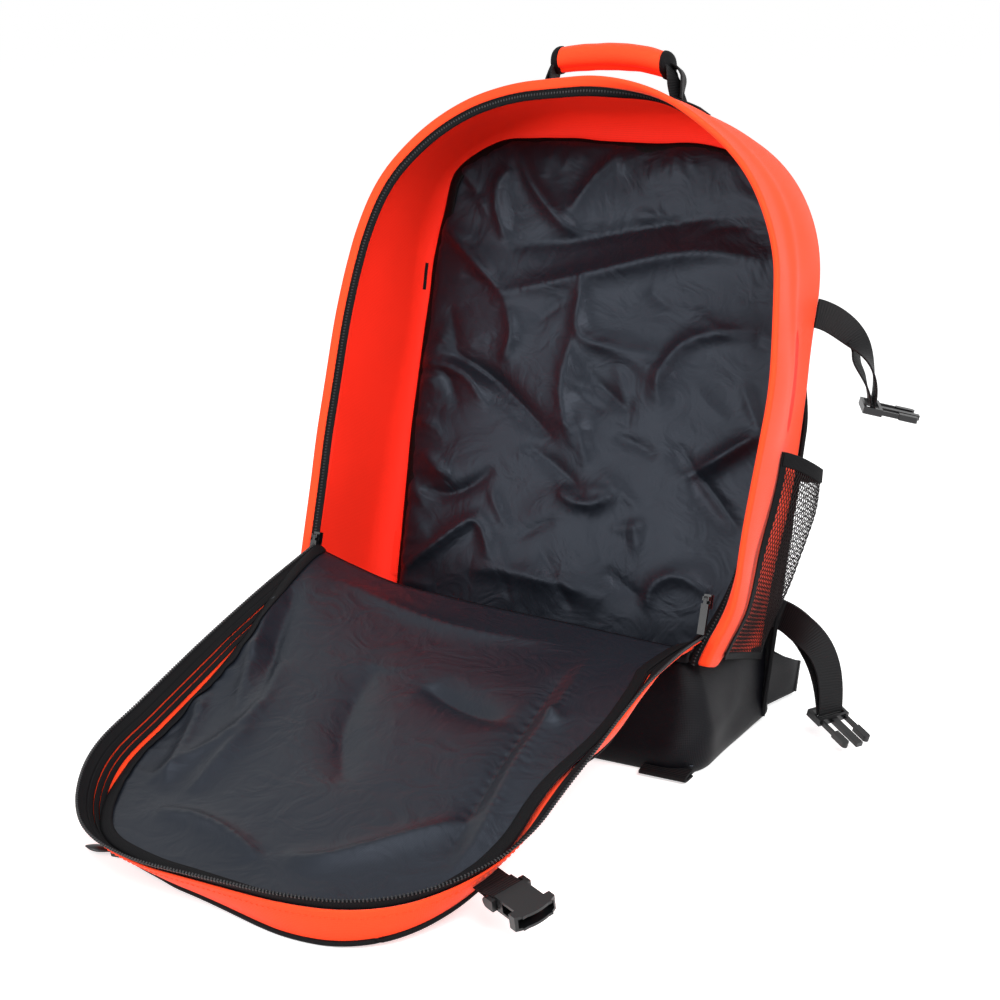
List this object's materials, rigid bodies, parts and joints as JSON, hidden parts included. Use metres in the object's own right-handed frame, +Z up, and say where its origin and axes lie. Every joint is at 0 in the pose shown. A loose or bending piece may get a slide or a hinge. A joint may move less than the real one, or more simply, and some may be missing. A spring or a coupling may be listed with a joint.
{
  "type": "trauma backpack",
  "caption": "Soft hi-vis emergency backpack standing open: arched shell, zipped fold-down flap, mesh side pockets, webbing straps with side-release buckles, top handle, shoulder straps",
  "frame": {"origin": "middle of the base where it rests on the ground", "axes": "+X to the right of someone facing the open front, +Y to the back, +Z up; the open flap lies towards -Y"},
  "size_m": [0.5824, 0.6721, 0.5455],
  "materials": {
    "orange_polyester": "coated woven polyester, hi-vis orange, soft sheen",
    "black_polyester": "coated woven polyester, black, soft sheen",
    "charcoal_lining": "thin nylon taffeta, wrinkled, satin",
    "black_webbing": "woven polypropylene tape, matt",
    "black_mesh": "knitted polyester mesh, matt",
    "black_acetal": "moulded acetal, satin",
    "zip_metal": "black lacquered zinc, satin"
  },
  "bodies": {
    "shell": {"base_panel": "black_polyester", "base_board": "charcoal_lining", "base_tab": "black_polyester", "base_wrap": "black_polyester", "lower_front": "black_polyester", "gusset": "orange_polyester", "back_panel": "black_mesh", "back_lining": "charcoal_lining", "lining_binding": "black_webbing", "back_piping": "black_webbing", "zip_tape_shell": "black_webbing", "zip_teeth_shell": "black_acetal", "handle_anchors": "black_webbing", "side_pocket_left": "black_mesh", "side_pocket_right": "black_mesh", "pocket_bands": "black_webbing", "shoulder_strap_left": "black_mesh", "shoulder_strap_right": "black_mesh", "ladder_locks": "black_acetal", "shoulder_webbing": "black_webbing", "strap_wings": "black_polyester"},
    "handle": {"handle_grip": "orange_polyester", "handle_legs": "black_webbing"},
    "flap": {"front_panel": "orange_polyester", "flap_strip": "orange_polyester", "flap_piping": "black_webbing", "flap_lining": "charcoal_lining", "flap_binding": "black_webbing", "zip_tape_flap": "black_webbing", "zip_teeth_flap": "black_acetal", "front_pocket": "orange_polyester", "pocket_zip": "black_webbing", "buckle_tethers": "black_webbing"},
    "slider_left": {"slider_left": "zip_metal"},
    "slider_right": {"slider_right": "zip_metal"},
    "pull_left": {"pull_left": "black_webbing"},
    "pull_right": {"pull_right": "black_webbing"},
    "pocket_slider": {"pocket_slider": "zip_metal"},
    "pocket_pull": {"pocket_pull": "black_webbing"},
    "upper_strap_left": {"upper_strap_left": "black_webbing"},
    "upper_strap_right": {"upper_strap_right": "black_webbing"},
    "upper_male_left": {"upper_male_left": "black_acetal"},
    "upper_male_right": {"upper_male_right": "black_acetal"},
    "upper_prong_a_left": {"upper_prong_a_left": "black_acetal"},
    "upper_prong_a_right": {"upper_prong_a_right": "black_acetal"},
    "upper_prong_b_left": {"upper_prong_b_left": "black_acetal"},
    "upper_prong_b_right": {"upper_prong_b_right": "black_acetal"},
    "upper_female_left": {"upper_female_left": "black_acetal"},
    "upper_female_right": {"upper_female_right": "black_acetal"},
    "lower_strap_left": {"lower_strap_left": "black_webbing"},
    "lower_strap_right": {"lower_strap_right": "black_webbing"},
    "lower_male_left": {"lower_male_left": "black_acetal"},
    "lower_male_right": {"lower_male_right": "black_acetal"},
    "lower_prong_a_left": {"lower_prong_a_left": "black_acetal"},
    "lower_prong_a_right": {"lower_prong_a_right": "black_acetal"},
    "lower_prong_b_left": {"lower_prong_b_left": "black_acetal"},
    "lower_prong_b_right": {"lower_prong_b_right": "black_acetal"},
    "lower_female_left": {"lower_female_left": "black_acetal"},
    "lower_female_right": {"lower_female_right": "black_acetal"}
  },
  "joints": [
    {"name": "flap_fold", "type": "hinge", "parent": "shell", "child": "flap", "pos_m": [0, -0.0332, 0.12139], "axis": [-1, 0, 0], "range_deg": [0, 120.43]},
    {"name": "handle_swing", "type": "hinge", "parent": "shell", "child": "handle", "pos_m": [0, 0.16237, 0.50418], "axis": [1, 0, 0], "range_deg": [-50, 50], "stiffness_Nm_per_rad": 0.3},
    {"name": "slider_left_run", "type": "slide", "parent": "shell", "child": "slider_left", "axis": [0, 0.3173, 0.9483], "range_m": [0, 0.24]},
    {"name": "slider_right_run", "type": "slide", "parent": "shell", "child": "slider_right", "axis": [0, 0.3173, 0.9483], "range_m": [0, 0.24]},
    {"name": "pull_left_swing", "type": "hinge", "parent": "slider_left", "child": "pull_left", "pos_m": [-0.1827, -0.03336, 0.1362], "axis": [-1, 0, 0], "range_deg": [0, 150]},
    {"name": "pull_right_swing", "type": "hinge", "parent": "slider_right", "child": "pull_right", "pos_m": [0.1827, -0.03336, 0.1362], "axis": [-1, 0, 0], "range_deg": [0, 150]},
    {"name": "pocket_slider_run", "type": "slide", "parent": "flap", "child": "pocket_slider", "axis": [1, 0, 0], "range_m": [0, 0.185]},
    {"name": "pocket_pull_swing", "type": "hinge", "parent": "pocket_slider", "child": "pocket_pull", "pos_m": [-0.0925, -0.38471, 0.00492], "axis": [0, -0.9784, -0.2068], "range_deg": [-5.5, 140]},
    {"name": "upper_strap_left_swing", "type": "hinge", "parent": "shell", "child": "upper_strap_left", "pos_m": [-0.1962, 0.16626, 0.32987], "axis": [0, -0.3173, -0.9483], "range_deg": [-90, 15]},
    {"name": "upper_strap_right_swing", "type": "hinge", "parent": "shell", "child": "upper_strap_right", "pos_m": [0.1962, 0.16626, 0.32987], "axis": [0, 0.3173, 0.9483], "range_deg": [-90, 15]},
    {"name": "lower_strap_left_swing", "type": "hinge", "parent": "shell", "child": "lower_strap_left", "pos_m": [-0.1962, 0.08916, 0.09943], "axis": [0, -0.3173, -0.9483], "range_deg": [-5, 40]},
    {"name": "lower_strap_right_swing", "type": "hinge", "parent": "shell", "child": "lower_strap_right", "pos_m": [0.1962, 0.08916, 0.09943], "axis": [0, 0.3173, 0.9483], "range_deg": [-5, 40]},
    {"name": "upper_male_left_tilt", "type": "hinge", "parent": "upper_strap_left", "child": "upper_male_left", "pos_m": [-0.2427, 0.16934, 0.25397], "axis": [-0.4201, -0.9057, -0.0567], "range_deg": [-40, 45]},
    {"name": "upper_male_right_tilt", "type": "hinge", "parent": "upper_strap_right", "child": "upper_male_right", "pos_m": [0.2427, 0.16934, 0.25397], "axis": [-0.4201, 0.9057, 0.0567], "range_deg": [-40, 45]},
    {"name": "upper_prong_a_left_flex", "type": "hinge", "parent": "upper_male_left", "child": "upper_prong_a_left", "pos_m": [-0.24519, 0.18381, 0.25282], "axis": [0.2184, -0.0402, -0.975], "range_deg": [-8, 0], "stiffness_Nm_per_rad": 0.05},
    {"name": "upper_prong_a_right_flex", "type": "hinge", "parent": "upper_male_right", "child": "upper_prong_a_right", "pos_m": [0.24519, 0.18381, 0.25282], "axis": [0.2184, 0.0402, 0.975], "range_deg": [-8, 0], "stiffness_Nm_per_rad": 0.05},
    {"name": "upper_prong_b_left_flex", "type": "hinge", "parent": "upper_male_left", "child": "upper_prong_b_left", "pos_m": [-0.25527, 0.16208, 0.25145], "axis": [0.2184, -0.0402, -0.975], "range_deg": [0, 8], "stiffness_Nm_per_rad": 0.05},
    {"name": "upper_prong_b_right_flex", "type": "hinge", "parent": "upper_male_right", "child": "upper_prong_b_right", "pos_m": [0.25527, 0.16208, 0.25145], "axis": [0.2184, 0.0402, 0.975], "range_deg": [0, 8], "stiffness_Nm_per_rad": 0.05},
    {"name": "lower_male_left_tilt", "type": "hinge", "parent": "lower_strap_left", "child": "lower_male_left", "pos_m": [-0.2537, 0.05966, 0.02072], "axis": [0.4912, -0.8709, -0.0145], "range_deg": [-60, 20]},
    {"name": "lower_male_right_tilt", "type": "hinge", "parent": "lower_strap_right", "child": "lower_male_right", "pos_m": [0.2537, 0.05966, 0.02072], "axis": [0.4912, 0.8709, 0.0145], "range_deg": [-60, 20]},
    {"name": "lower_prong_a_left_flex", "type": "hinge", "parent": "lower_male_left", "child": "lower_prong_a_left", "pos_m": [-0.26666, 0.06617, 0.01812], "axis": [0.276, 0.1714, -0.9457], "range_deg": [-8, 0], "stiffness_Nm_per_rad": 0.05},
    {"name": "lower_prong_a_right_flex", "type": "hinge", "parent": "lower_male_right", "child": "lower_prong_a_right", "pos_m": [0.26666, 0.06617, 0.01812], "axis": [0.276, -0.1714, 0.9457], "range_deg": [-8, 0], "stiffness_Nm_per_rad": 0.05},
    {"name": "lower_prong_b_left_flex", "type": "hinge", "parent": "lower_male_left", "child": "lower_prong_b_left", "pos_m": [-0.25487, 0.04527, 0.01777], "axis": [0.276, 0.1714, -0.9457], "range_deg": [0, 8], "stiffness_Nm_per_rad": 0.05},
    {"name": "lower_prong_b_right_flex", "type": "hinge", "parent": "lower_male_right", "child": "lower_prong_b_right", "pos_m": [0.25487, 0.04527, 0.01777], "axis": [0.276, -0.1714, 0.9457], "range_deg": [0, 8], "stiffness_Nm_per_rad": 0.05},
    {"name": "upper_female_right_tilt", "type": "hinge", "parent": "flap", "child": "upper_female_right", "pos_m": [0.17981, -0.35091, 0.0297], "axis": [-0.4067, -0.8938, -0.1889], "range_deg": [-35, 70]},
    {"name": "upper_female_left_tilt", "type": "hinge", "parent": "flap", "child": "upper_female_left", "pos_m": [-0.15, -0.28762, 0.02393], "axis": [1, 0, 0], "range_deg": [-60, 15]},
    {"name": "lower_female_left_tilt", "type": "hinge", "parent": "flap", "child": "lower_female_left", "pos_m": [-0.114, -0.13094, 0.06491], "axis": [0, 0.9331, 0.3595], "range_deg": [-40, 80]},
    {"name": "lower_female_right_tilt", "type": "hinge", "parent": "flap", "child": "lower_female_right", "pos_m": [0.114, -0.13094, 0.06491], "axis": [0, -0.9331, -0.3595], "range_deg": [-40, 80]}
  ],
  "couplings": [
    {"joint": "upper_prong_b_left_flex", "follows": "upper_prong_a_left_flex", "ratio": -1},
    {"joint": "upper_prong_b_right_flex", "follows": "upper_prong_a_right_flex", "ratio": -1},
    {"joint": "lower_prong_b_left_flex", "follows": "lower_prong_a_left_flex", "ratio": -1},
    {"joint": "lower_prong_b_right_flex", "follows": "lower_prong_a_right_flex", "ratio": -1}
  ]
}
